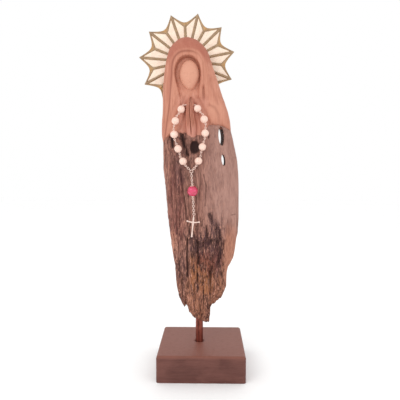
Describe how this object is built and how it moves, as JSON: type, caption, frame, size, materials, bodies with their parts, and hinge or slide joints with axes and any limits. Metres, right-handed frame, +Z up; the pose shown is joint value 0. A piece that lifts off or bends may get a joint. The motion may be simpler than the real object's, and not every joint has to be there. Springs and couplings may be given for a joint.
{
  "type": "madonna statue",
  "caption": "Hooded driftwood figure with praying hands, star halo and short rosary, held on a metal rod above a square wooden block.",
  "frame": {"origin": "middle of the block's underside", "axes": "+Z up, the figure looks along -Y, +X is the viewer's right when facing it"},
  "size_m": [0.1124, 0.09, 0.3792],
  "materials": {
    "stained_block": "dark reddish-brown stain, satin",
    "copper_rod": "copper-brown, half gloss",
    "steel": "zinc plated",
    "felt": "dark felt",
    "driftwood": "smooth warm carving above, weathered grey-brown grain below",
    "gilt": "antique gold paint",
    "cream_panels": "cream enamel",
    "pearl_bead": "pearly cream",
    "red_glass": "translucent red",
    "rosary_metal": "pale rose silver"
  },
  "bodies": {
    "statue": {"base_block": "stained_block", "rod": "copper_rod", "rod_washer": "steel", "rod_nut": "steel", "base_felt": "felt", "wood_figure": "driftwood", "halo_frame": "gilt", "halo_inlays": "cream_panels", "halo_screws": "steel"},
    "rosary_loop": {"eye_pins_left": "rosary_metal", "eye_pins_right": "rosary_metal", "chain_left": "rosary_metal", "chain_right": "rosary_metal", "chain_through_hands": "rosary_metal"},
    "junction": {"junction_ring": "rosary_metal"},
    "pendant": {"pendant_chain_upper": "rosary_metal", "red_bead_pin": "rosary_metal", "red_bead_caps": "rosary_metal", "pendant_chain_lower": "rosary_metal"},
    "red_bead": {"red_bead": "red_glass"},
    "crucifix": {"crucifix": "rosary_metal"},
    "bead_left_1": {"bead_left_1": "pearl_bead"},
    "bead_left_2": {"bead_left_2": "pearl_bead"},
    "bead_left_3": {"bead_left_3": "pearl_bead"},
    "bead_left_4": {"bead_left_4": "pearl_bead"},
    "bead_left_5": {"bead_left_5": "pearl_bead"},
    "bead_right_1": {"bead_right_1": "pearl_bead"},
    "bead_right_2": {"bead_right_2": "pearl_bead"},
    "bead_right_3": {"bead_right_3": "pearl_bead"},
    "bead_right_4": {"bead_right_4": "pearl_bead"},
    "bead_right_5": {"bead_right_5": "pearl_bead"}
  },
  "joints": [
    {"name": "rosary_lift", "type": "hinge", "parent": "statue", "child": "rosary_loop", "pos_m": [-0.01277, -0.0134, 0.2795], "axis": [-1, 0, 0], "range_deg": [0, 35]},
    {"name": "pendant_lift", "type": "hinge", "parent": "rosary_loop", "child": "junction", "pos_m": [-0.01036, -0.019, 0.21238], "axis": [-1, 0, 0], "range_deg": [0, 30]},
    {"name": "pendant_swing", "type": "hinge", "parent": "junction", "child": "pendant", "pos_m": [-0.01021, -0.01917, 0.20951], "axis": [0, 1, 0], "range_deg": [-20, 20]},
    {"name": "crucifix_swing", "type": "hinge", "parent": "pendant", "child": "crucifix", "pos_m": [-0.00777, -0.01948, 0.16839], "axis": [0, 1, 0], "range_deg": [-25, 25]},
    {"name": "red_bead_spin", "type": "hinge", "parent": "pendant", "child": "red_bead", "pos_m": [-0.0091, -0.0204, 0.191], "axis": [0.0591, -0.0091, -0.9982], "continuous": true},
    {"name": "bead_left_1_spin", "type": "hinge", "parent": "rosary_loop", "child": "bead_left_1", "pos_m": [-0.0209, -0.015, 0.275], "axis": [-0.4152, -0.3048, -0.8571], "continuous": true},
    {"name": "bead_left_2_spin", "type": "hinge", "parent": "rosary_loop", "child": "bead_left_2", "pos_m": [-0.0266, -0.0186, 0.2628], "axis": [-0.2572, -0.1469, -0.9551], "continuous": true},
    {"name": "bead_left_3_spin", "type": "hinge", "parent": "rosary_loop", "child": "bead_left_3", "pos_m": [-0.0279, -0.019, 0.249], "axis": [0.0943, -0.014, -0.9954], "continuous": true},
    {"name": "bead_left_4_spin", "type": "hinge", "parent": "rosary_loop", "child": "bead_left_4", "pos_m": [-0.0239, -0.019, 0.2343], "axis": [0.3121, 0, -0.9501], "continuous": true},
    {"name": "bead_left_5_spin", "type": "hinge", "parent": "rosary_loop", "child": "bead_left_5", "pos_m": [-0.0189, -0.019, 0.2216], "axis": [0.5057, 0, -0.8627], "continuous": true},
    {"name": "bead_right_1_spin", "type": "hinge", "parent": "rosary_loop", "child": "bead_right_1", "pos_m": [-0.004, -0.0155, 0.2756], "axis": [0.5368, -0.4, -0.7429], "continuous": true},
    {"name": "bead_right_2_spin", "type": "hinge", "parent": "rosary_loop", "child": "bead_right_2", "pos_m": [0.0028, -0.0188, 0.2643], "axis": [0.291, -0.1306, -0.9478], "continuous": true},
    {"name": "bead_right_3_spin", "type": "hinge", "parent": "rosary_loop", "child": "bead_right_3", "pos_m": [0.0038, -0.019, 0.2502], "axis": [-0.0639, -0.0071, -0.9979], "continuous": true},
    {"name": "bead_right_4_spin", "type": "hinge", "parent": "rosary_loop", "child": "bead_right_4", "pos_m": [0.001, -0.019, 0.2362], "axis": [-0.2336, 0, -0.9723], "continuous": true},
    {"name": "bead_right_5_spin", "type": "hinge", "parent": "rosary_loop", "child": "bead_right_5", "pos_m": [-0.003, -0.019, 0.2219], "axis": [-0.4105, 0, -0.9119], "continuous": true}
  ]
}
